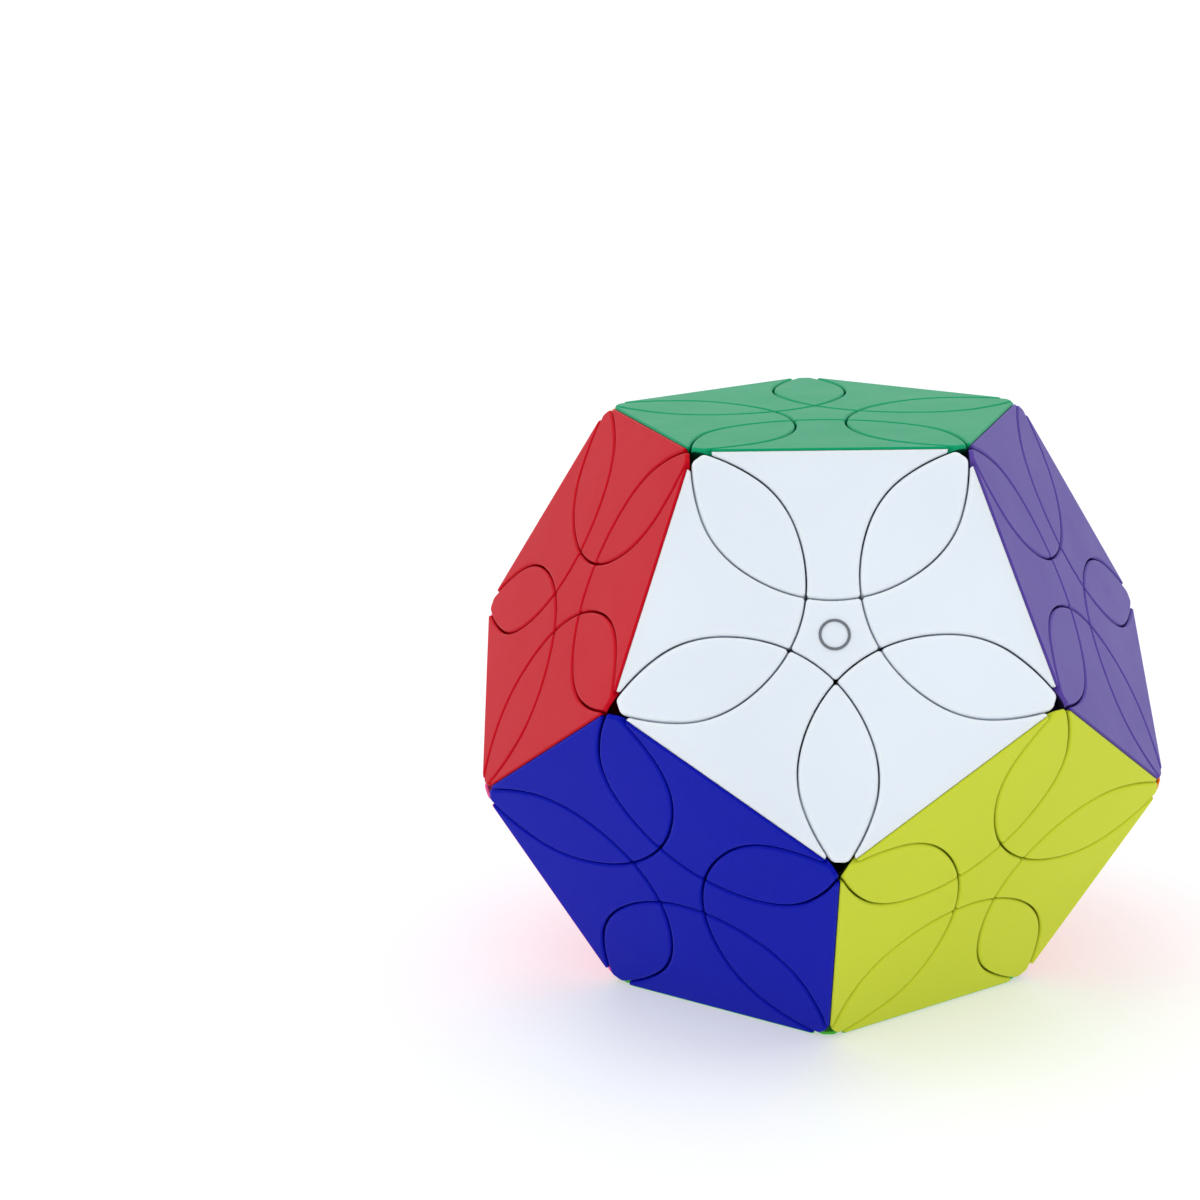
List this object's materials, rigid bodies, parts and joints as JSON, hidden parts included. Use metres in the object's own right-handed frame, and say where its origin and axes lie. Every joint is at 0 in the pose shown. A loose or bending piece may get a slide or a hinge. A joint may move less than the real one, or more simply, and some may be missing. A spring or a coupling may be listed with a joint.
{
  "type": "edge-turning dodecahedron puzzle",
  "caption": "Hand-held twisty puzzle in the shape of a dodecahedron, whose edge groups turn about their own midpoints.",
  "frame": {"origin": "middle of the core, which is the centre of the dodecahedron", "axes": "+Z out of the dark green face, and -Z out of the light green face that it rests on; -Y is the side of the white face"},
  "size_m": [0.086, 0.0896, 0.0734],
  "materials": {
    "dark_green_plastic": "satin moulded",
    "white_plastic": "satin moulded",
    "purple_plastic": "satin moulded",
    "sky_blue_plastic": "satin moulded",
    "cream_plastic": "satin moulded",
    "red_plastic": "satin moulded",
    "light_green_plastic": "satin moulded",
    "grey_plastic": "satin moulded",
    "pink_plastic": "satin moulded",
    "blue_plastic": "satin moulded",
    "yellow_plastic": "satin moulded",
    "orange_plastic": "satin moulded",
    "black_plastic": "satin moulded",
    "core_plastic": "satin moulded",
    "steel": "plated"
  },
  "bodies": {
    "ball": {"centre_blue": "blue_plastic", "centre_cream": "cream_plastic", "centre_dark_green": "dark_green_plastic", "centre_grey": "grey_plastic", "centre_light_green": "light_green_plastic", "centre_orange": "orange_plastic", "centre_pink": "pink_plastic", "centre_purple": "purple_plastic", "centre_red": "red_plastic", "centre_sky_blue": "sky_blue_plastic", "centre_white": "white_plastic", "centre_yellow": "yellow_plastic", "core_lower": "core_plastic", "core_upper": "core_plastic", "edge_screws": "steel", "edge_springs": "steel", "edge_washers": "steel", "fixed_blue": "blue_plastic", "fixed_cream": "cream_plastic", "fixed_dark_green": "dark_green_plastic", "fixed_frames": "black_plastic", "fixed_grey": "grey_plastic", "fixed_light_green": "light_green_plastic", "fixed_orange": "orange_plastic", "fixed_pink": "pink_plastic", "fixed_purple": "purple_plastic", "fixed_red": "red_plastic", "fixed_sky_blue": "sky_blue_plastic", "fixed_white": "white_plastic", "fixed_yellow": "yellow_plastic"},
    "turn_white_purple": {"turn_white_purple_frame": "black_plastic", "turn_white_purple_purple": "purple_plastic", "turn_white_purple_white": "white_plastic"},
    "turn_purple_sky_blue": {"turn_purple_sky_blue_frame": "black_plastic", "turn_purple_sky_blue_purple": "purple_plastic", "turn_purple_sky_blue_sky_blue": "sky_blue_plastic"},
    "turn_sky_blue_cream": {"turn_sky_blue_cream_cream": "cream_plastic", "turn_sky_blue_cream_frame": "black_plastic", "turn_sky_blue_cream_sky_blue": "sky_blue_plastic"},
    "turn_cream_red": {"turn_cream_red_cream": "cream_plastic", "turn_cream_red_frame": "black_plastic", "turn_cream_red_red": "red_plastic"},
    "turn_red_white": {"turn_red_white_frame": "black_plastic", "turn_red_white_red": "red_plastic", "turn_red_white_white": "white_plastic"},
    "turn_grey_pink": {"turn_grey_pink_frame": "black_plastic", "turn_grey_pink_grey": "grey_plastic", "turn_grey_pink_pink": "pink_plastic"},
    "turn_pink_blue": {"turn_pink_blue_blue": "blue_plastic", "turn_pink_blue_frame": "black_plastic", "turn_pink_blue_pink": "pink_plastic"},
    "turn_blue_yellow": {"turn_blue_yellow_blue": "blue_plastic", "turn_blue_yellow_frame": "black_plastic", "turn_blue_yellow_yellow": "yellow_plastic"},
    "turn_yellow_orange": {"turn_yellow_orange_frame": "black_plastic", "turn_yellow_orange_orange": "orange_plastic", "turn_yellow_orange_yellow": "yellow_plastic"},
    "turn_orange_grey": {"turn_orange_grey_frame": "black_plastic", "turn_orange_grey_grey": "grey_plastic", "turn_orange_grey_orange": "orange_plastic"}
  },
  "joints": [
    {"name": "white_purple_turn", "type": "hinge", "parent": "ball", "child": "turn_white_purple", "pos_m": [0, 0, 0], "axis": [0.5, -0.6882, 0.5257], "continuous": true},
    {"name": "purple_sky_blue_turn", "type": "hinge", "parent": "ball", "child": "turn_purple_sky_blue", "pos_m": [0, 0, 0], "axis": [0.809, 0.2629, 0.5257], "continuous": true},
    {"name": "sky_blue_cream_turn", "type": "hinge", "parent": "ball", "child": "turn_sky_blue_cream", "pos_m": [0, 0, 0], "axis": [0, 0.8507, 0.5257], "continuous": true},
    {"name": "cream_red_turn", "type": "hinge", "parent": "ball", "child": "turn_cream_red", "pos_m": [0, 0, 0], "axis": [-0.809, 0.2629, 0.5257], "continuous": true},
    {"name": "red_white_turn", "type": "hinge", "parent": "ball", "child": "turn_red_white", "pos_m": [0, 0, 0], "axis": [-0.5, -0.6882, 0.5257], "continuous": true},
    {"name": "grey_pink_turn", "type": "hinge", "parent": "ball", "child": "turn_grey_pink", "pos_m": [0, 0, 0], "axis": [-0.5, 0.6882, -0.5257], "continuous": true},
    {"name": "pink_blue_turn", "type": "hinge", "parent": "ball", "child": "turn_pink_blue", "pos_m": [0, 0, 0], "axis": [-0.809, -0.2629, -0.5257], "continuous": true},
    {"name": "blue_yellow_turn", "type": "hinge", "parent": "ball", "child": "turn_blue_yellow", "pos_m": [0, 0, 0], "axis": [0, -0.8507, -0.5257], "continuous": true},
    {"name": "yellow_orange_turn", "type": "hinge", "parent": "ball", "child": "turn_yellow_orange", "pos_m": [0, 0, 0], "axis": [0.809, -0.2629, -0.5257], "continuous": true},
    {"name": "orange_grey_turn", "type": "hinge", "parent": "ball", "child": "turn_orange_grey", "pos_m": [0, 0, 0], "axis": [0.5, 0.6882, -0.5257], "continuous": true}
  ]
}
